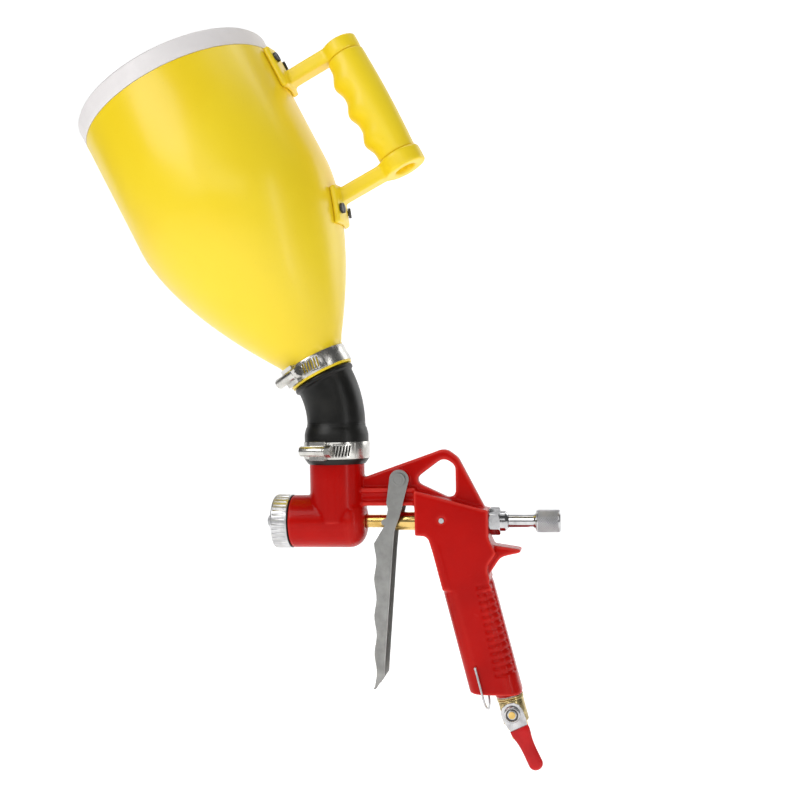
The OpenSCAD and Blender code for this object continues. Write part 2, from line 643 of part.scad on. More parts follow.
// Dipped vinyl sleeve over the lever: wide at the plate, waisted, round at the tip
sleeve_outline = [[-7.9, -11.4], [7.9, -11.4], [7.4, -16], [5.9, -21], [5.5, -28], [5.6, 4 - lever_reach],
                  [4.2, 1.2 - lever_reach], [1.8, -lever_reach], [-1.8, -lever_reach], [-4.2, 1.2 - lever_reach],
                  [-5.6, 4 - lever_reach], [-5.5, -28], [-5.9, -21], [-7.4, -16]];
module lever_sleeve() {
    color("#d01010") lever_frame() difference() {
        translate([0, -plate_y - plate_t / 2, 0]) plate(sleeve_outline, plate_t + 3);
        translate([0, -plate_y - plate_t / 2, 0]) plate(lever_plate_outline, plate_t + 2 * seat_gap);
    }
}
module lever_nut() {
    color("silver") lever_frame() difference() {
        translate([0, -nut_y - nut_t, 0]) rotate([-90, 0, 0]) cylinder(h = nut_t, d = 11 / cos(30), $fn = 6);
        across(-30, 0, 2.6 + seat_gap);
    }
}

/* ---- wire bail on the grip ---- */
// Half of the loop's path from a pivot hole down a leg to the loop's rounded point, as [y, z]
bail_path = concat([for (i = [0:4]) [bail_half, -bail_leg * i / 4]],
    [for (i = [1:8]) let (a = 90 * i / 8) [bail_half * cos(a), -bail_leg - (bail_drop - bail_leg) * sin(a)]]);
bail_loop = concat([for (p = bail_path) p],
    [for (i = [len(bail_path) - 2:-1:0]) [-bail_path[i][0], bail_path[i][1]]]);
// Round wire swept along a path in the Y-Z plane
module wire_sweep(path, r, sides = 10) {
    last = len(path) - 1;
    points = [for (i = [0:last], j = [0:sides - 1])
        let (t = unit(path[min(i + 1, last)] - path[max(i - 1, 0)]), b = 360 * j / sides)
        [r * cos(b), path[i][0] - r * sin(b) * t[1], path[i][1] + r * sin(b) * t[0]]];
    faces = concat([[for (j = [sides - 1:-1:0]) j]],
        [for (i = [0:last - 1], j = [0:sides - 1])
            let (k = (j + 1) % sides) [i * sides + j, i * sides + k, (i + 1) * sides + k, (i + 1) * sides + j]],
        [[for (j = [0:sides - 1]) last * sides + j]]);
    polyhedron(points, faces);
}
module wire_bail() {
    inside = 8;
    color("#b0b0b4") at_grip() translate([bail_n, 0, -bail_s]) {
        across(-bail_half - bail_wire / 2, inside - grip_r, bail_wire / 2);
        across(grip_r - inside, bail_half + bail_wire / 2, bail_wire / 2);
        wire_sweep(bail_loop, bail_wire / 2);
    }
}

/* ---- rubber elbow and clamps ---- */
stub_len = neck_len + 4;
module elbow() {
    cup_r = cup_d / 2;
    tube_r = elbow_d / 2;
    bore = elbow_bore / 2;
    feed_r = feed_d / 2 + seat_gap;
    stub_r = neck_r - hopper_wall - seat_gap;
    stub_top = bead_h + lip_gap + stub_len;
    // cup and stub are a little thicker than the bend on both sides
    step = 0.2;
    color("#1c1c1c") at_inlet() {
        // cup over the feed tube
        translate([feed_x, 0, 0]) rotate_extrude() polygon([[feed_r, cup_bottom], [feed_r + 0.8, cup_bottom],
            [cup_r - 0.2, cup_bottom + 3.4], [cup_r, cup_bottom + 4], [cup_r, cup_top - 8],
            [tube_r + 1.2, cup_top - 3.4], [tube_r + step, cup_top - 1.6], [tube_r + step, cup_top],
            [bore - step, cup_top], [bore - step, feed_top + seat_gap], [feed_r, feed_top + seat_gap]]);
        // bend
        translate([feed_x - elbow_bend, 0, cup_top]) rotate([90, 0, 0])
            rotate_extrude(angle = hopper_tilt, $fn = 128) translate([elbow_bend, 0]) difference() {
                circle(tube_r);
                circle(bore);
            }
        // bead and the stub inside the hopper's neck
        translate(bend_end) rotate([0, -hopper_tilt, 0]) rotate_extrude() polygon([[bore - step, 0],
            [tube_r + step, 0], [tube_r + 0.6, 0.6], [tube_r + 1.7, 1.2], [tube_r + 2, bead_h / 2], [tube_r + 1.7, bead_h - 0.8],
            [tube_r + 0.6, bead_h], [stub_r, bead_h], [stub_r, stub_top], [bore - step, stub_top]]);
    }
}

// Worm-drive clamp round a tube of radius r along Z, middle at z; near side is -Y
screw_len = 15;
module clamp_band(r, z) {
    difference() {
        union() {
            post(z - band_w / 2, z + band_w / 2, r + band_t, r + seat_gap);
            // overlapping tail of the band under the housing
            intersection() {
                post(z - band_w / 2 + 0.8, z + band_w / 2 - 0.8, r + 2 * band_t, r + band_t - eps);
                translate([-9, -r - 10, z - band_w]) cube([r * 0.9 + 9, r + 10, 2 * band_w]);
            }
        }
        for (i = [0:5]) rotate([0, 0, 22 + 5.2 * i]) translate([0, -r, z])
            rotate([0, 12, 0]) cube([1.1, 6, band_w * 0.62], center = true);
    }
}
module clamp_housing(r, z) {
    barrel = 4.1;
    out = r + 2 * band_t + barrel + 0.1;
    difference() {
        union() {
            translate([0, -out, z]) rod(-screw_len, 5, barrel);
            translate([-8, -out, z - band_w / 2 - 0.7]) cube([13, barrel + 1.4, band_w + 1.4]);
        }
        post(z - band_w, z + band_w, r + 2 * band_t + seat_gap);
        translate([0, -out, z]) rod(-screw_len - 1, 6, 3.1 + run_gap);
    }
}
module clamp_screw(r, z) {
    out = r + 2 * band_t + 4.2;
    difference() {
        translate([0, -out, z]) {
            rod(-screw_len + 1, 5.4, 3.1);
            rod(5.2, 6.6, 4.4);
            hex_x(6.5, 11, 8);
        }
        translate([10, -out - 5, z - 0.6]) cube([2, 10, 1.2]);
    }
}
lower_clamp_z = cup_bottom + 10.9;
lower_clamp_turn = -14;
upper_clamp_turn = -33;
upper_clamp_u = 8.2;
module lower_clamp() { at_inlet() translate([feed_x, 0, 0]) rotate([0, 0, lower_clamp_turn]) children(); }
module upper_clamp() { at_hopper() rotate([0, 0, upper_clamp_turn]) children(); }
module lower_clamp_band() { color("silver") lower_clamp() clamp_band(cup_d / 2, lower_clamp_z); }
module lower_clamp_housing() { color("#c0c0c4") lower_clamp() clamp_housing(cup_d / 2, lower_clamp_z); }
module lower_clamp_screw() { color("#a8a8ac") lower_clamp() clamp_screw(cup_d / 2, lower_clamp_z); }
module upper_clamp_band() { color("silver") upper_clamp() clamp_band(neck_r, upper_clamp_u); }
module upper_clamp_housing() { color("#c0c0c4") upper_clamp() clamp_housing(neck_r, upper_clamp_u); }
module upper_clamp_screw() { color("#a8a8ac") upper_clamp() clamp_screw(neck_r, upper_clamp_u); }

/* ---- hopper and lid ---- */
// Full outline of the hopper's outside, grown outwards by g
function hopper_outline(g) = concat([[0, 0], [neck_r + g, 0], [neck_r + g, neck_len]],
    [for (u = flare_us) [hopper_at(u) + g, u]]);
module hopper() {
    color("#f5d21c") at_hopper() difference() {
        rotate_extrude($fn = 128) polygon(concat(
            [[neck_r - hopper_wall, 0], [neck_r, 0], [neck_r, neck_len]],
            [for (u = flare_us) [hopper_at(u), u]],
            [[hopper_r, rim_low], [rim_r, rim_low], [rim_r, rim_top], [rim_r - hopper_wall, rim_top],
             [rim_r - hopper_wall, rim_low - 4], [hopper_r - hopper_wall, rim_low - 7]],
            [for (i = [flare_steps:-1:0]) [hopper_at(flare_us[i]) - hopper_wall, flare_us[i]]],
            [[neck_r - hopper_wall, neck_len + 0.5]]));
        at_screws_each() rod(-12, 12, screw_r + 0.1);
    }
}
module lid() {
    color("#f2f0f0") at_hopper() rotate_extrude($fn = 128) polygon([[0, hopper_len - lid_wall],
        [hopper_r - lid_wall, hopper_len - lid_wall], [hopper_r - lid_wall, rim_low + 0.3],
        [hopper_r + 0.2, rim_low + 0.3], [hopper_r + 0.3, hopper_len - 2], [hopper_r - 1, hopper_len - 0.3],
        [hopper_r - 3, hopper_len], [hopper_r - 7, hopper_len], [hopper_r - 9, hopper_len - 0.8],
        [0, hopper_len - 0.8]]);
}

/* ---- hopper handle ---- */
// Slab of the foot that follows the hopper's side from height u0 to u1
module foot(u0, u1) {
    intersection() {
        difference() {
            rotate_extrude($fn = 96) polygon(concat(hopper_outline(foot_thick), [[hopper_r + foot_thick, rim_low - 1],
                [0, rim_low - 1]]));
            rotate_extrude($fn = 128) polygon(concat(hopper_outline(seat_gap), [[hopper_r + seat_gap, rim_low + 5],
                [0, rim_low + 5]]));
        }
        translate([40, -foot_half, u0]) cube([80, 2 * foot_half, u1 - u0]);
    }
}
module arm(u) {
    start = hopper_at(u) - 3;
    difference() {
        translate([start, -arm_width / 2, u - arm_thick / 2]) cube([grip_reach - start, arm_width, arm_thick]);
        rotate_extrude($fn = 128) polygon(concat(hopper_outline(seat_gap), [[hopper_r + seat_gap, rim_low + 5],
            [0, rim_low + 5]]));
    }
}
// Each handle screw's seat: X starts on the hopper's outside and runs square to its wall
module at_screws_each() {
    for (u = [screw_low, screw_high], side = [-1, 1]) {
        lean = atan2(hopper_at(u + 1) - hopper_at(u - 1), 2);
        rotate([0, 0, side * asin(screw_side / hopper_at(u))]) translate([hopper_at(u), 0, u])
            rotate([0, lean, 0]) children();
    }
}
module handle_frame() {
    color("#f5d21c") at_hopper() difference() {
        union() {
            foot(arm_high - 8, rim_low - 1);
            foot(arm_low - 20, arm_low + 8);
            arm(arm_high);
            arm(arm_low);
            translate([grip_reach, 0, 0]) {
                post(arm_low - arm_thick / 2 - 1, grip_low, sleeve_d / 2 + 1.2);
                post(grip_high, arm_high + arm_thick / 2, sleeve_d / 2 - 1.6);
                post(grip_low - eps, grip_high + eps, sleeve_d / 2 - 5);
            }
        }
        translate([grip_reach, 0, 0]) post(arm_low - arm_thick / 2 - 2, arm_low + 1, sleeve_d / 2 - 8);
        at_screws_each() rod(-20, 20, screw_r + 0.1);
    }
}
module grip_sleeve() {
    // barrelled tube with three finger beads on the hopper side
    u0 = grip_low + 0.1;
    u1 = grip_high - 0.1;
    core = sleeve_d / 2 - 5 + seat_gap;
    bead_pitch = 26;
    color("#f7d824") at_hopper() translate([grip_reach, 0, 0]) difference() {
        union() {
            rotate_extrude() polygon(concat([[0, u0]], [for (i = [0:8]) let (u = u0 + (u1 - u0) * i / 8)
                [sleeve_d / 2 - 1.2 + 1.2 * sin(180 * i / 8), u]], [[0, u1]]));
            for (i = [-1:1]) translate([0, 0, (u0 + u1) / 2 + i * bead_pitch]) intersection() {
                rotate_extrude() translate([sleeve_d / 2 - 1, 0]) circle(4.2, $fn = 32);
                translate([-30, -30, -6]) cube([21, 60, 12]);
            }
        }
        post(u0 - 1, u1 + 1, core);
    }
}
module handle_screws() {
    // pan heads on the feet, shanks through foot and wall
    color("#3c3c40") at_hopper() at_screws_each() {
        rod(-hopper_wall - 4, foot_thick + eps, screw_r);
        difference() {
            rod(foot_thick, foot_thick + 2, 4);
            translate([foot_thick + 1, -0.5, -5]) cube([2, 1, 10]);
        }
    }
}
module handle_nuts() {
    color("#a8a8ac") at_hopper() at_screws_each() difference() {
        hex_x(-hopper_wall - 3.6, -hopper_wall - 0.4, 7);
        rod(-hopper_wall - 5, 0, screw_r + seat_gap);
    }
}

gun_body();
cap_seal_ring();
nozzle_cap();
nozzle_insert();
air_needle();
needle_collar();
front_packing();
packing_nut();
trigger();
trigger_pin();
pin_circlip();
collar_seal();
seal_retainer();
retainer_pin();
return_spring();
spring_seat();
gland_nut();
gland_oring();
adjuster_screw();
adjuster_knob();
valve_gasket();
valve_body();
valve_inlet();
valve_seats();
valve_ball();
valve_stem();
stem_packing();
valve_lever();
lever_sleeve();
lever_nut();
wire_bail();
elbow();
lower_clamp_band();
lower_clamp_housing();
lower_clamp_screw();
upper_clamp_band();
upper_clamp_housing();
upper_clamp_screw();
hopper();
lid();
handle_frame();
grip_sleeve();
handle_screws();
handle_nuts();
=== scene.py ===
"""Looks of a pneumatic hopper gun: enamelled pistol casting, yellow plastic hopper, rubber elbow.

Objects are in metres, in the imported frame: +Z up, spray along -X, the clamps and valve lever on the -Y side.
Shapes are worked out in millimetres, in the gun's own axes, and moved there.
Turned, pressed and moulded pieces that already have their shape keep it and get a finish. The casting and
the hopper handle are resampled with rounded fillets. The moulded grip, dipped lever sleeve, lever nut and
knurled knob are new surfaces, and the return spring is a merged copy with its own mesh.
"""
import json
from math import cos, pi, radians, sin, tau

import bpy
import bmesh
import numpy as np
from mathutils import Matrix, Vector


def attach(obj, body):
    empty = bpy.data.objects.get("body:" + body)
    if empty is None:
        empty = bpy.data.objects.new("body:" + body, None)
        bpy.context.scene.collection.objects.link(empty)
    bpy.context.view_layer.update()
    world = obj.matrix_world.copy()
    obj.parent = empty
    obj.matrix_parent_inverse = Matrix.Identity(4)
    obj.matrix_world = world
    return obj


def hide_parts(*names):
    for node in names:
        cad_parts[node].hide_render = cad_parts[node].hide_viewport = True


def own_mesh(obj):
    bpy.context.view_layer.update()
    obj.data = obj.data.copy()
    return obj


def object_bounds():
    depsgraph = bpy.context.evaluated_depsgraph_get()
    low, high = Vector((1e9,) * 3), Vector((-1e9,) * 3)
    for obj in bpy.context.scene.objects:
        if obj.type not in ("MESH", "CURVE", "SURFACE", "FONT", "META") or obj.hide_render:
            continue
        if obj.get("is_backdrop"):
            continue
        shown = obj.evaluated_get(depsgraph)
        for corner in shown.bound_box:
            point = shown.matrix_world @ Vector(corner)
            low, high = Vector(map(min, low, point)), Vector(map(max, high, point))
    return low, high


MM = 0.001
# Metres below which two corners of a CAD mesh are one
SAME_POINT = 2e-6

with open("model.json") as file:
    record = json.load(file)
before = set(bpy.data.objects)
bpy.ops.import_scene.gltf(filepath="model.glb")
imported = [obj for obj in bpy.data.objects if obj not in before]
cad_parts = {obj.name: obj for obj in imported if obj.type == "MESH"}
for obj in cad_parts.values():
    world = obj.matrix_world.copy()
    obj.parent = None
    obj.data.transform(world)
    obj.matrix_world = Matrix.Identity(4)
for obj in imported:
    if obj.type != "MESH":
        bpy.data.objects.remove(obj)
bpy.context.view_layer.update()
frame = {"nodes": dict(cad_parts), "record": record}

# ---- places, in millimetres, in the gun's own axes: needle axis along X, chamber's front face at X 0 ----
GRIP_TILT = radians(14)
HOPPER_TILT = radians(27)
VALVE_ACROSS, INLET_DOWN, BALL_DOWN = 130.2, 201.0, 180.2
LEVER_TURN = radians(11)
INLET = np.array([VALVE_ACROSS * cos(GRIP_TILT) + INLET_DOWN * sin(GRIP_TILT), 0,
                  VALVE_ACROSS * sin(GRIP_TILT) - INLET_DOWN * cos(GRIP_TILT)])
FEED_X, CUP_TOP, ELBOW_BEND, LIP_RISE = 35.7, 76.0, 73.0, 5.1
BEND_END = np.array([FEED_X - ELBOW_BEND * (1 - cos(HOPPER_TILT)), 0,
                     CUP_TOP + ELBOW_BEND * sin(HOPPER_TILT)])
HOPPER_LIP = BEND_END + LIP_RISE * np.array([-sin(HOPPER_TILT), 0, cos(HOPPER_TILT)])


def turned(angle):
    """Axes of a frame leant by angle about Y: its X, Y and Z as rows, in the gun's axes."""
    return np.array([[cos(angle), 0, sin(angle)], [0, 1, 0], [-sin(angle), 0, cos(angle)]])


def to_frame(points, origin=np.zeros(3), lean=0.0):
    """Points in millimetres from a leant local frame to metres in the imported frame."""
    return (points @ turned(lean) + origin - INLET) * MM


def to_gun(points, lean=0.0):
    """The inverse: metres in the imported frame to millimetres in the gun's axes, leant."""
    return (points / MM + INLET) @ turned(lean).T


VALVE_HINGE = np.array([VALVE_ACROSS, 0, -BALL_DOWN]) @ turned(GRIP_TILT)
LEVER_LEAN = GRIP_TILT + LEVER_TURN


# ---- mesh helpers ----
def smoothstep(low, high, x):
    """0 below low, 1 above high, with level ends between."""
    t = np.clip((x - low) / (high - low), 0, 1)
    return t * t * (3 - 2 * t)


def placed(name, data):
    """A new object in the scene, at the origin."""
    made = bpy.data.objects.new(name, data)
    bpy.context.scene.collection.objects.link(made)
    return made


def smooth(mesh):
    mesh.polygons.foreach_set("use_smooth", np.ones(len(mesh.polygons), bool))


def mark(mesh, name, values):
    """Keeps one number for each vertex, which a finish reads by name."""
    kept = mesh.attributes.new(name, "FLOAT", "POINT")
    kept.data.foreach_set("value", values.astype(np.float32))


def surface(name, grid):
    """Mesh of a grid of points: rows run along the piece and columns round it, joined back to the first.
    The first and last rows are closed by a fan to their middle."""
    rows, columns, _ = grid.shape
    points = grid.reshape(-1, 3)
    index = np.arange(rows * columns).reshape(rows, columns)
    after = np.roll(index, -1, axis=1)
    quads = np.stack([index[:-1], after[:-1], after[1:], index[1:]], axis=-1).reshape(-1, 4)
    faces = quads.tolist()
    points = np.vstack([points, grid[0].mean(0), grid[-1].mean(0)])
    first, last = rows * columns, rows * columns + 1
    faces += np.stack([after[0], index[0], np.full(columns, first)], axis=-1).tolist()
    faces += np.stack([index[-1], after[-1], np.full(columns, last)], axis=-1).tolist()
    mesh = bpy.data.meshes.new(name)
    mesh.from_pydata(points.tolist(), [], faces)
    shell = bmesh.new()
    shell.from_mesh(mesh)
    bmesh.ops.recalc_face_normals(shell, faces=shell.faces)
    shell.to_mesh(mesh)
    shell.free()
    smooth(mesh)
    mesh.update()
    return placed(name, mesh)


def merged_copy(node, name):
    """A CAD node's mesh with its loose triangles joined, as a new object."""
    mesh = bpy.data.meshes.new(name)
    joined = bmesh.new()
    joined.from_mesh(frame["nodes"][node].data)
    bmesh.ops.remove_doubles(joined, verts=joined.verts, dist=SAME_POINT)
    joined.to_mesh(mesh)
    joined.free()
    return placed(name, mesh)


def evaluated_points(piece):
    """Points and edges of a piece with its modifiers on, and the mesh that holds them."""
    mesh = bpy.data.meshes.new_from_object(piece.evaluated_get(bpy.context.evaluated_depsgraph_get()))
    points = np.empty(len(mesh.vertices) * 3)
    mesh.vertices.foreach_get("co", points)
    edges = np.empty(len(mesh.edges) * 2, int)
    mesh.edges.foreach_get("vertices", edges)
    return mesh, points.reshape(-1, 3), edges.reshape(-1, 2)


def neighbour_mean(points, edges):
    """Mean of each vertex's neighbours along the edges."""
    count = np.bincount(edges.ravel(), minlength=len(points))
    first, second = edges[:, 0], edges[:, 1]
    total = np.stack([np.bincount(first, points[second, axis], len(points))
                      + np.bincount(second, points[first, axis], len(points)) for axis in range(3)], 1)
    return total / np.maximum(count, 1)[:, None]


def moulded_copy(node, name, cell, rounds, machined=None, relief=None):
    """A cast or moulded copy of a CAD node. Its surface is resampled on an even grid of cells, then each
    vertex moves halfway to its neighbours' mean, round after round, which rounds edges and fills corners.
    Where machined(points) is 1 the surface stays nearly true. relief(points, normals) is then cut inwards
    along the normals, in metres. The attribute edge_highlight keeps how far the rounding moved a vertex, as a
    share of sharp cells, 1 on the sharpest edges; the enamel paints a paler highlight where it is high."""
    halfway, held, settling, sharp = 0.5, 0.85, 0.25, 0.45
    source = merged_copy(node, name + "_source")
    remesh = source.modifiers.new("even grid", "REMESH")
    remesh.mode = "VOXEL"
    remesh.voxel_size = cell
    mesh, points, edges = evaluated_points(source)
    keep = np.zeros((len(points), 1)) if machined is None else machined(points)[:, None]
    before = points.copy()
    for _ in range(rounds):
        points += (neighbour_mean(points, edges) - points) * halfway * (1 - held * keep)
    mesh.vertices.foreach_set("co", points.ravel())
    mesh.update()
    normals = np.empty(len(points) * 3)
    mesh.vertices.foreach_get("normal", normals)
    normals = normals.reshape(-1, 3)
    outward = ((before - points) * normals).sum(1)
    if relief is not None:
        points -= normals * relief(points, normals)[:, None]
        for _ in range(2):
            points += (neighbour_mean(points, edges) - points) * settling * (1 - keep)
        mesh.vertices.foreach_set("co", points.ravel())
    mark(mesh, "edge_highlight", np.clip(outward / (sharp * cell), 0, 1))
    smooth(mesh)
    mesh.name = name
    piece = placed(name, mesh)
    bpy.data.objects.remove(source)
    return piece


# ---- shader helpers ----
class Value:
    """A shader socket: arithmetic on it adds Math nodes."""

    def __init__(self, finish, socket):
        self.finish, self.socket = finish, socket

    def _math(self, operation, *values):
        return self.finish.node("ShaderNodeMath", dict(operation=operation), dict(enumerate(values)))

    def __add__(self, other):
        return self._math("ADD", self, other)

    def __mul__(self, other):
        return self._math("MULTIPLY", self, other)

    __radd__, __rmul__ = __add__, __mul__


class Finish:
    """One material and the nodes behind its Principled shader."""

    # Places of the colour sockets on a Mix node
    FIRST_COLOUR, SECOND_COLOUR, MIXED_COLOUR = 6, 7, 2

    def __init__(self, name, **fixed):
        self.material = bpy.data.materials.new(name)
        self.material.use_nodes = True
        self.tree = self.material.node_tree
        self.shader = self.tree.nodes["Principled BSDF"]
        for socket, value in fixed.items():
            self.shader.inputs[socket.replace("_", " ")].default_value = value

    def node(self, kind, settings=None, sockets=None, output=0):
        """Adds a node, sets its settings, then fills its sockets with numbers, colours or links."""
        made = self.tree.nodes.new(kind)
        for key, value in (settings or {}).items():
            setattr(made, key, value)
        for key, value in (sockets or {}).items():
            if isinstance(value, Value):
                self.tree.links.new(value.socket, made.inputs[key])
            else:
                made.inputs[key].default_value = value
        return Value(self, made.outputs[output])

    def where(self, stretch=(1, 1, 1)):
        """Object coordinates, stretched."""
        spot = self.node("ShaderNodeTexCoord", output="Object")
        return self.node("ShaderNodeMapping", {}, {"Vector": spot, "Scale": stretch})

    def noise(self, scale, detail=3.0, roughness=0.55, stretch=(1, 1, 1)):
        return self.node("ShaderNodeTexNoise", {}, {"Vector": self.where(stretch), "Scale": scale,
                                                    "Detail": detail, "Roughness": roughness})

    def ramp(self, value, low, high):
        """0 below low, 1 above high, smooth between."""
        return self.node("ShaderNodeMapRange", dict(interpolation_type="SMOOTHSTEP"),
                         {"Value": value, "From Min": low, "From Max": high})

    def blend(self, amount, first, second):
        """Mix of two colours."""
        sockets = {"Factor": amount, self.FIRST_COLOUR: first, self.SECOND_COLOUR: second}
        return self.node("ShaderNodeMix", dict(data_type="RGBA"), sockets, self.MIXED_COLOUR)

    def attribute(self, name):
        return self.node("ShaderNodeAttribute", dict(attribute_name=name), output="Fac")

    def bump(self, height, depth, strength=1.0, under=None):
        sockets = {"Height": height, "Distance": depth, "Strength": strength}
        if under:
            sockets["Normal"] = under
        return self.node("ShaderNodeBump", {}, sockets)

    def feed(self, **sockets):
        """Links values to the shader's sockets and returns the material."""
        for socket, value in sockets.items():
            self.tree.links.new(value.socket, self.shader.inputs[socket.replace("_", " ")])
        return self.material


def rgb(red, green, blue):
    return (red, green, blue, 1)


def enamel():
    """Gloss red enamel: fine orange peel, a darker tone in patches, a painted highlight on sharp edges."""
    f = Finish("red enamel", Coat_Weight=0.06, Coat_Roughness=0.06, Specular_IOR_Level=0.1)
    cloud = f.ramp(f.noise(22, 4), 0.35, 0.68)
    edge = f.attribute("edge_highlight")
    tone = f.blend(cloud, rgb(0.42, 0.002, 0.0008), rgb(0.49, 0.003, 0.0012))
    # Painted highlight: a paler red mixed in along sharp edges, by the rounding attribute read above
    tone = f.blend(edge * 0.7, tone, rgb(0.82, 0.06, 0.045))
    dust = f.ramp(f.noise(1900, 1), 0.62, 0.75)
    peel = f.bump(f.noise(420, 2), 0.00012, 0.5)
    return f.feed(Base_Color=tone, Roughness=f.noise(60) * 0.1 + dust * 0.06 + 0.2, Normal=peel)


def moulded_yellow(name, first, second, base_roughness, grain_depth):
    """Yellow polyethylene: slow waviness from blow moulding, fine mould grain, faint cloudy tone."""
    f = Finish(name, Coat_Weight=0.1, Coat_Roughness=0.14, IOR=1.45)
    tone = f.blend(f.ramp(f.noise(9, 3), 0.3, 0.7), first, second)
    speck = f.ramp(f.noise(700, 2), 0.66, 0.74)
    tone = f.blend(speck * 0.12, tone, rgb(0.45, 0.30, 0.02))
    waves = f.bump(f.noise(26, 1), 0.0008, 0.35)
    grain = f.bump(f.noise(1500, 2), grain_depth, 0.6, waves)
    return f.feed(Base_Color=tone, Roughness=f.noise(45) * 0.12 + base_roughness, Normal=grain)


def white_lid():
    """White polyethylene, slightly warm, with a fine grain and faint handling marks."""
    f = Finish("white polyethylene", IOR=1.5)
    marks = f.ramp(f.noise(35, 5), 0.52, 0.75)
    tone = f.blend(marks, rgb(0.80, 0.77, 0.77), rgb(0.75, 0.72, 0.72))
    grain = f.bump(f.noise(900, 2), 0.00006, 0.6)
    return f.feed(Base_Color=tone, Roughness=f.noise(80) * 0.15 + 0.34, Normal=grain)


def rubber():
    """Moulded black rubber: satin, with a bloom in patches and a fine pebbled skin."""
    f = Finish("black rubber", Specular_IOR_Level=0.32)
    bloom = f.ramp(f.noise(30, 5), 0.42, 0.72)
    tone = f.blend(bloom, rgb(0.004, 0.004, 0.0035), rgb(0.012, 0.012, 0.010))
    pebbles = f.bump(f.noise(1300, 2), 0.00008, 0.7)
    return f.feed(Base_Color=tone, Roughness=bloom * 0.12 + 0.33, Normal=pebbles)


def plated(name, light, dark, low, high, brushed=(1, 1, 1), scratch=0.00002):
    """Plated or turned metal: tone and gloss drift in patches, and fine scratches run along the axis whose
    number in brushed is small. Where the attribute recess is 1, at the bottom of a knurl or groove, painted
    shade darkens the metal."""
    f = Finish(name, Metallic=1.0)
    patch = f.ramp(f.noise(90, 4), 0.35, 0.7)
    lines = f.noise(500, 2, 0.6, brushed)
    groove_shade = f.attribute("recess")
    # Painted shade: near black mixed in where the attribute recess marks the bottom of a knurl or groove
    tone = f.blend(groove_shade * 0.85, f.blend(patch, light, dark), rgb(0.06, 0.06, 0.06))
    return f.feed(Base_Color=tone, Roughness=patch * (high - low) + groove_shade * 0.2 + lines * 0.06 + low,
                  Normal=f.bump(lines, scratch, 0.7))


def tarnished_brass():
    """Forged brass with thin plating: dull olive patches over a bright golden ground."""
    f = Finish("plated brass forging", Metallic=1.0)
    patch = f.ramp(f.noise(150, 6, 0.65), 0.4, 0.66)
    tone = f.blend(patch, rgb(0.62, 0.50, 0.25), rgb(0.30, 0.24, 0.11))
    pits = f.bump(f.noise(700, 3), 0.0001, 0.6)
    return f.feed(Base_Color=tone, Roughness=patch * 0.22 + 0.2, Normal=pits)


def plain_white(name):
    """PTFE: waxy white with a faint grain."""
    f = Finish(name)
    tone = f.blend(f.noise(300), rgb(0.80, 0.79, 0.76), rgb(0.88, 0.87, 0.84))
    return f.feed(Base_Color=tone, Roughness=f.noise(200) * 0.1 + 0.4)


def dipped_vinyl():
    """Dipped red vinyl: thick and glossy, with slow drips under the gloss."""
    f = Finish("red vinyl", Coat_Weight=0.2, Coat_Roughness=0.08, Specular_IOR_Level=0.2)
    tone = f.blend(f.ramp(f.noise(80, 3), 0.3, 0.7), rgb(0.50, 0.002, 0.004), rgb(0.60, 0.005, 0.007))
    drips = f.bump(f.noise(120, 1), 0.0004, 0.4)
    return f.feed(Base_Color=tone, Roughness=f.noise(160) * 0.12 + 0.24, Normal=drips)


FINISHES = {
    "red_enamel": enamel(),
    "black_rubber": rubber(),
    "cast_alloy": plated("turned alloy", rgb(0.70, 0.70, 0.71), rgb(0.55, 0.55, 0.56),
                         0.26, 0.4, (0.05, 1, 1)),
    "nickel": plated("bright nickel", rgb(0.64, 0.64, 0.65), rgb(0.40, 0.40, 0.41),
                     0.08, 0.18, (0.1, 1, 1)),
    "brass": plated("turned brass", rgb(0.80, 0.56, 0.20), rgb(0.64, 0.42, 0.12),
                    0.14, 0.28, (0.1, 1, 1)),
    "plated_brass": tarnished_brass(),
    "white_ptfe": plain_white("white packing"),
    "satin_steel": plated("pressed steel", rgb(0.38, 0.38, 0.37), rgb(0.30, 0.30, 0.29),
                          0.3, 0.44, (1, 1, 0.06), 0.00004),
    "spring_steel": plated("spring steel", rgb(0.55, 0.55, 0.56), rgb(0.42, 0.42, 0.43), 0.18, 0.3),
    "clamp_steel": plated("rolled stainless", rgb(0.66, 0.65, 0.62), rgb(0.52, 0.51, 0.48),
                          0.15, 0.3, (1, 1, 0.1)),
    "red_vinyl": dipped_vinyl(),
    "yellow_plastic": moulded_yellow("yellow polyethylene", rgb(0.92, 0.67, 0.014), rgb(0.95, 0.72, 0.024),
                                     0.27, 0.00003),
    "yellow_grip": moulded_yellow("yellow grip moulding", rgb(0.93, 0.68, 0.014), rgb(0.96, 0.73, 0.024),
                                  0.3, 0.00007),
    "white_plastic": white_lid(),
    "dark_screw": plated("blackened steel", rgb(0.09, 0.09, 0.09), rgb(0.05, 0.05, 0.05), 0.3, 0.5),
}
SLOT_OF = {row["node"]: row["material_slot"] for row in frame["record"]["subparts"]}
BODY_OF = {node: body for body, nodes in frame["record"]["behaviour"]["bodies"].items() for node in nodes}


def add_piece(piece, node):
    """A new piece that stands for one CAD node: it rides on that node's body and takes its finish."""
    piece.data.materials.clear()
    piece.data.materials.append(FINISHES[SLOT_OF[node]])
    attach(piece, BODY_OF[node])
    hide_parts(node)


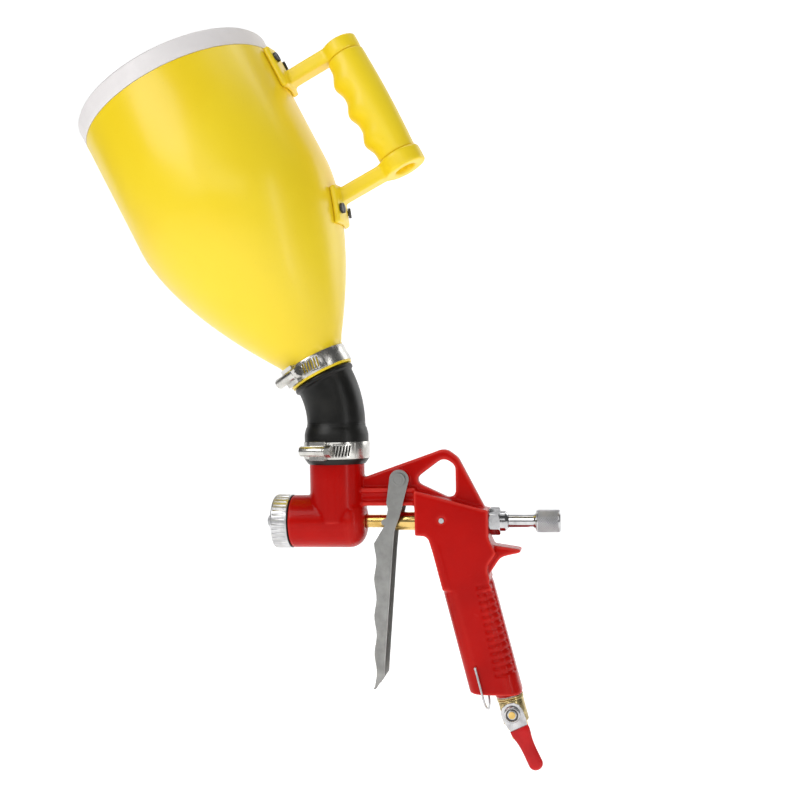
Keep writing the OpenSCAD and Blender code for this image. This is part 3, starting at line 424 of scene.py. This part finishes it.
# ---- CAD pieces that keep their shape ----
# Width in millimetres of the small rounded edge on each piece that is pressed, turned, forged or moulded
EDGES = {"trigger": 0.3, "trigger_pin": 0.3, "pin_circlip": 0.15, "valve_body": 0.25, "valve_inlet": 0.25,
         "valve_lever": 0.25, "lever_nut": 0.3, "valve_stem": 0.3, "gland_nut": 0.25, "adjuster_screw": 0.25,
         "nozzle_cap": 0.2, "nozzle_insert": 0.2, "needle_collar": 0.3, "packing_nut": 0.3,
         "lower_clamp_band": 0.12, "upper_clamp_band": 0.12, "lower_clamp_housing": 0.5,
         "upper_clamp_housing": 0.5, "lower_clamp_screw": 0.3, "upper_clamp_screw": 0.3,
         "handle_screws": 0.3, "handle_nuts": 0.2, "elbow": 0.5, "hopper": 0.5, "lid": 0.4,
         "retainer_pin": 0.25, "cap_seal_ring": 0.15}

for node, shown in frame["nodes"].items():
    shown.data.materials.clear()
    shown.data.materials.append(FINISHES[SLOT_OF[node]])
    weld = shown.modifiers.new("joined", "WELD")
    weld.merge_threshold = SAME_POINT
    if node in EDGES:
        rounding = shown.modifiers.new("rounded edges", "BEVEL")
        rounding.width = EDGES[node] * MM
        rounding.segments = 2
        rounding.limit_method = "ANGLE"
        rounding.angle_limit = radians(32)
        rounding.use_clamp_overlap = True
    crease = shown.modifiers.new("creases", "EDGE_SPLIT")
    crease.split_angle = radians(38)


# ---- red casting ----
def near_cylinder(points, start, end, radius):
    """1 within radius of the line from start to end, 0 a little outside, in millimetres."""
    fade = 1.2
    along = end - start
    share = np.clip((points - start) @ along / (along @ along), 0, 1)
    away = np.linalg.norm(points - start - share[:, None] * along, axis=1)
    return 1 - smoothstep(radius, radius + fade, away)


def machined_faces(points):
    """Bores, threads and seats of the casting, where a tool leaves a true face."""
    spots = to_gun(points)
    down = np.array([sin(GRIP_TILT), 0, -cos(GRIP_TILT)])
    across = np.array([cos(GRIP_TILT), 0, sin(GRIP_TILT)])
    valve = VALVE_ACROSS * across
    # Each row: one end of the axis, the other end, and the radius that is kept true
    cuts = {"cap spigot": ((-12, 0, 0), (5, 0, 0), 19),
            "needle bore": ((38, 0, 0), (100, 0, 0), 9.5),
            "spring and gland bore": ((100, 0, 0), (158, 0, 0), 10.2),
            "trigger pin's boss": ((86.5, -12, 32.8), (86.5, 12, 32.8), 4.2),
            "feed tube": ((FEED_X, 0, 46), (FEED_X, 0, 70), 24),
            "valve's socket": (valve + down * 150, valve + down * 172, 8.5)}
    near = [near_cylinder(spots, np.array(start, float), np.array(end, float), radius)
            for start, end, radius in cuts.values()]
    return np.max(near, axis=0)


def grip_relief(points, normals):
    """Finger ribs: narrow notches across each rear corner of the grip, which run into a shallow panel along
    the rear edge. The depth is the deeper of the two. A raised line beside the front edge is a negative
    depth."""
    spot = to_gun(points, GRIP_TILT)
    across, side, down = spot[:, 0], np.abs(spot[:, 1]), -spot[:, 2]
    rib_pitch, first_rib, notch_depth, notch_len, panel_depth, line_rise = 5.6, 82, 1.0, 5.2, 0.7, 0.35
    # The notches start on a slanted line: its foot, and how far it goes rearwards over its height
    foot_across, foot_down, slant, height = 125.2, 151, 3.6, 71
    edge = foot_across + slant * (foot_down - down) / height
    band = smoothstep(79, 80.4, down) * (1 - smoothstep(150.6, 152, down)) * smoothstep(4.5, 6.0, side)
    notch = smoothstep(0.45, 0.85, 0.5 + 0.5 * np.cos(tau * (down - first_rib) / rib_pitch))
    panel = smoothstep(edge + notch_len, edge + notch_len + 1, across) * panel_depth
    cut = np.maximum(panel, smoothstep(edge, edge + 0.8, across) * notch * notch_depth + panel * 0.6)
    outside = smoothstep(0.3, 0.7, np.maximum(np.abs(normals[:, 1]), normals[:, 0]))
    line = np.exp(-((across - 108.4) / 0.9) ** 2)
    line *= smoothstep(40, 50, down) * (1 - smoothstep(148, 156, down))
    flat_side = smoothstep(0.85, 0.97, np.abs(normals[:, 1])) * smoothstep(13.5, 14.2, side)
    return (cut * band * outside - line * flat_side * line_rise) * MM


add_piece(moulded_copy("gun_body", "casting", 0.92 * MM, 6, machined_faces, grip_relief), "gun_body")

# ---- yellow handle frame, softened like a moulding ----
add_piece(moulded_copy("handle_frame", "handle_moulding", 0.95 * MM, 9), "handle_frame")


# ---- moulded grip between the arms ----
def moulded_grip():
    """Barrel with three finger swells on the hopper's side: the radius is a long arch plus a swell that fades
    round the grip, and a quarter circle rounds off each end. Both ends close on the core, radius 8."""
    low, high, reach = 122.9, 211.9, 133.4
    barrel, arch, swell, swell_pitch, swell_at, corner, core = 15.0, 1.2, 3.4, 25.6, 167.4, 1.6, 8.0
    up = np.concatenate([[low, low], np.linspace(low, high, 181), [high, high]])[:, None]
    round_grip = np.linspace(0, tau, 96, endpoint=False)[None, :]
    share = (up - low) / (high - low)
    radius = barrel + arch * np.sin(pi * share)
    facing = np.clip(-np.cos(round_grip), 0, 1) ** 1.6
    fingers = 0.5 + 0.5 * np.cos(tau * (up - swell_at) / swell_pitch)
    edge = np.minimum(up - low, high - up)
    radius = radius + facing * (swell * fingers ** 1.4) * smoothstep(1, 9, edge)
    radius = radius - corner * (1 - np.sqrt(np.clip(1 - (1 - np.clip(edge / corner, 0, 1)) ** 2, 0, 1)))
    radius[0], radius[-1] = core, core
    grid = np.stack([reach + radius * np.cos(round_grip), radius * np.sin(round_grip),
                     np.broadcast_to(up, radius.shape)], -1)
    return surface("hand_grip", to_frame(grid, HOPPER_LIP, HOPPER_TILT))


add_piece(moulded_grip(), "grip_sleeve")


# ---- dipped sleeve on the valve lever ----
def dipped_sleeve():
    """Flattened tube down the lever. Each section is a superellipse: its half width goes from the plate's
    width, through a waist, to a round tip, and its half thickness swells a little towards the tip."""
    plate_middle, mouth, tip_start, tip_len = -13.15, 11.4, 40, 5.0
    rounding = tip_start + tip_len * np.sin(np.linspace(0, pi / 2, 24))[1:]
    down = np.concatenate([[mouth, mouth], np.linspace(mouth, tip_start, 60), rounding])
    width = np.interp(down, [mouth, 13, 17, 21, 25, 30, 36, tip_start],
                      [7.2, 7.6, 7.0, 6.0, 5.5, 5.3, 5.4, 5.4])
    kernel = np.ones(7) / 7
    width = np.convolve(np.pad(width, 3, mode="edge"), kernel, mode="valid")
    thick = np.interp(down, [mouth, 14, 25, tip_start], [2.1, 2.45, 2.9, 3.3])
    tip = np.sqrt(np.clip(1 - (np.clip(down - tip_start, 0, tip_len) / tip_len) ** 2, 0.0004, 1))
    width, thick = (width * tip)[:, None], (thick * tip)[:, None]
    width[0], thick[0] = width[0] * 0.7, thick[0] * 0.6
    around = np.linspace(0, tau, 64, endpoint=False)[None, :]
    bulge = 2 / 2.6
    x = width * np.sign(np.cos(around)) * np.abs(np.cos(around)) ** bulge
    y = plate_middle + thick * np.sign(np.sin(around)) * np.abs(np.sin(around)) ** bulge
    grid = np.stack([x, y, np.broadcast_to(-down[:, None], x.shape)], -1)
    return surface("lever_grip", to_frame(grid, VALVE_HINGE, LEVER_LEAN))


add_piece(dipped_sleeve(), "lever_sleeve")


# ---- knurled adjuster knob ----
def knurled_knob():
    """Turned knob: the radius follows a chamfered profile, less two crossing sets of helical grooves
    between the end bands, which leaves a diamond knurl. The front end closes on the screw, and the rear end
    is dished a little."""
    start, end, full, chamfer, knurl_depth, screw, dish = 189.72, 208.2, 8.75, 0.8, 0.55, 5.03, 0.5
    along = np.concatenate([[start, start], np.linspace(start, end, 120), [end, end, end]])[:, None]
    round_knob = np.linspace(0, tau, 240, endpoint=False)[None, :]
    edge = np.minimum(along - start, end - along)
    radius = full - chamfer * (1 - smoothstep(0, chamfer, edge))
    lead, teeth = 0.42, 26
    slant = along * lead / 3
    groove = 0.5 + 0.25 * (np.cos(teeth * (round_knob + slant)) + np.cos(teeth * (round_knob - slant)))
    band = smoothstep(1.2, 1.8, edge)
    recess = groove ** 1.5 * band
    radius = radius - knurl_depth * recess
    radius[0], radius[-1], radius[-2] = screw, 2.0, 6.6
    along = np.broadcast_to(along, radius.shape).copy()
    along[-1] -= dish
    grid = np.stack([along, radius * np.cos(round_knob), radius * np.sin(round_knob)], -1)
    knob = surface("knurled_knob", to_frame(grid))
    # The finish also paints the bottoms of the grooves dark as shade by this
    mark(knob.data, "recess", np.append(recess.ravel(), [0, 0]))
    return knob


add_piece(knurled_knob(), "adjuster_knob")


# ---- round nut that holds the valve lever ----
def lever_ring_nut():
    """Turned nut on the lever's pivot: a profile of (radius, distance out from the valve's axis) carried
    round the pivot, with a bright outer ring, a sunk ring painted dark as shade and an inner ring round the
    stem."""
    profile = np.array([(2.62, 13.94), (5.4, 13.94), (6.1, 14.3), (6.1, 15.7), (5.7, 16.25), (5.1, 16.4),
                        (4.6, 16.25), (4.35, 15.3), (3.65, 15.3), (3.45, 16.0), (2.62, 16.1)])
    # 1 on the sunk ring, which the finish paints dark as shade
    sunk = np.array([0, 0, 0, 0, 0, 0, 0, 1, 1, 0, 0], float)
    rows, columns = 41, 72
    steps = np.linspace(0, len(profile) - 1, rows)
    radius, out, recess = (np.interp(steps, np.arange(len(profile)), column)[:, None]
                           for column in (profile[:, 0], profile[:, 1], sunk))
    around = np.linspace(0, tau, columns, endpoint=False)[None, :]
    grid = np.stack([radius * np.cos(around), np.broadcast_to(-out, (rows, columns)),
                     radius * np.sin(around)], -1)
    nut = surface("lever_ring_nut", to_frame(grid, VALVE_HINGE, LEVER_LEAN))
    mark(nut.data, "recess", np.append(np.repeat(recess, columns, axis=1).ravel(), [0, 0]))
    return nut


add_piece(lever_ring_nut(), "lever_nut")

# ---- needle's return spring, which the trigger shortens in the real gun: a merged copy with its own mesh ----
spring = merged_copy("return_spring", "coil_spring")
smooth(spring.data)
add_piece(spring, "return_spring")
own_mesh(spring)

# ---- studio ----
def studio_sweep():
    """Pale floor that curves up into the backdrop: a straight run, a quarter circle and a rise, carried
    along X."""
    gap, near, bend, far, high, side = 0.004, -3.0, 0.6, 1.5, 3.0, 4.0
    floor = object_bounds()[0][2] - gap
    turn = np.linspace(0, pi / 2, 33)
    y = np.concatenate([[near], far + bend * np.sin(turn), [far + bend]])
    z = floor + np.concatenate([[0.0], bend * (1 - np.cos(turn)), [high]])
    line = np.stack([np.zeros_like(y), y, z], 1)
    grid = np.stack([line + np.array([-side, 0, 0]), line + np.array([side, 0, 0])])
    mesh = bpy.data.meshes.new("studio sweep")
    rows = len(line)
    first = np.arange(rows - 1)
    faces = np.stack([first, first + rows, first + rows + 1, first + 1], 1)
    mesh.from_pydata(grid.reshape(-1, 3).tolist(), [], faces.tolist())
    smooth(mesh)
    sweep = placed("studio_sweep", mesh)
    paper = Finish("backdrop paper", Roughness=0.9, Emission_Color=rgb(1, 1, 1), Emission_Strength=0.55)
    tone = paper.blend(paper.noise(3), rgb(0.90, 0.90, 0.90), rgb(0.92, 0.92, 0.92))
    mesh.materials.append(paper.feed(Base_Color=tone))
    sweep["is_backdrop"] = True


studio_sweep()


def softbox(name, place, aim, width, height, power):
    """Rectangular light at place, turned towards aim: sizes in metres, power in watts."""
    light = bpy.data.lights.new(name, "AREA")
    light.shape, light.size, light.size_y, light.energy = "RECTANGLE", width, height, power
    lamp = placed(name, light)
    lamp.location = place
    lamp.rotation_euler = (Vector(aim) - Vector(place)).to_track_quat("-Z", "Y").to_euler()


MIDDLE = (-0.09, 0, 0.26)
softbox("key", (-0.85, -1.0, 1.0), MIDDLE, 0.8, 0.8, 8)
softbox("strip", (0.85, -0.75, 0.35), MIDDLE, 0.16, 1.2, 2.6)
softbox("front fill", (0.1, -1.7, 0.9), MIDDLE, 1.2, 0.5, 3)
softbox("top", (-0.05, 0.1, 1.7), MIDDLE, 1.2, 1.0, 4)
softbox("behind", (0.9, 0.9, 0.8), MIDDLE, 0.6, 0.9, 2.5)
softbox("backdrop wash", (0, 0.5, 2.2), (0, 1.9, 0.3), 2.5, 0.6, 9)



def studio_room():
    """Surroundings past the floor: dim as a light, and white where they are seen directly."""
    room = bpy.data.worlds.new("studio")
    room.use_nodes = True
    nodes, links = room.node_tree.nodes, room.node_tree.links
    dim, pale = nodes["Background"], nodes.new("ShaderNodeBackground")
    for glow, strength in [(dim, 0.1), (pale, 1.0)]:
        glow.inputs["Color"].default_value = rgb(1, 1, 1)
        glow.inputs["Strength"].default_value = strength
    path, seen = nodes.new("ShaderNodeLightPath"), nodes.new("ShaderNodeMixShader")
    links.new(path.outputs["Is Camera Ray"], seen.inputs["Fac"])
    links.new(dim.outputs[0], seen.inputs[1])
    links.new(pale.outputs[0], seen.inputs[2])
    links.new(seen.outputs[0], nodes["World Output"].inputs["Surface"])
    bpy.context.scene.world = room


studio_room()
bpy.context.scene.view_settings.view_transform = "Standard"

# ---- camera ----
# Level with the gun and ten degrees round to its rear, with a slight roll
CAMERA_PLACE = Vector((0.0611, -0.8479, 0.2545))
CAMERA_RIGHT = Vector((0.9846, 0.1736, -0.0184))
CAMERA_AHEAD = Vector((-0.1736, 0.9848, 0.0032))
lens = bpy.data.cameras.new("camera")
lens.lens, lens.sensor_width = 50, 36
camera = placed("camera", lens)
right, ahead = CAMERA_RIGHT.normalized(), CAMERA_AHEAD.normalized()
above = right.cross(ahead).normalized()
right = ahead.cross(above)
turned_to_view = Matrix((right, above, -ahead)).transposed()
camera.matrix_world = Matrix.LocRotScale(CAMERA_PLACE, turned_to_view, None)
bpy.context.scene.camera = camera
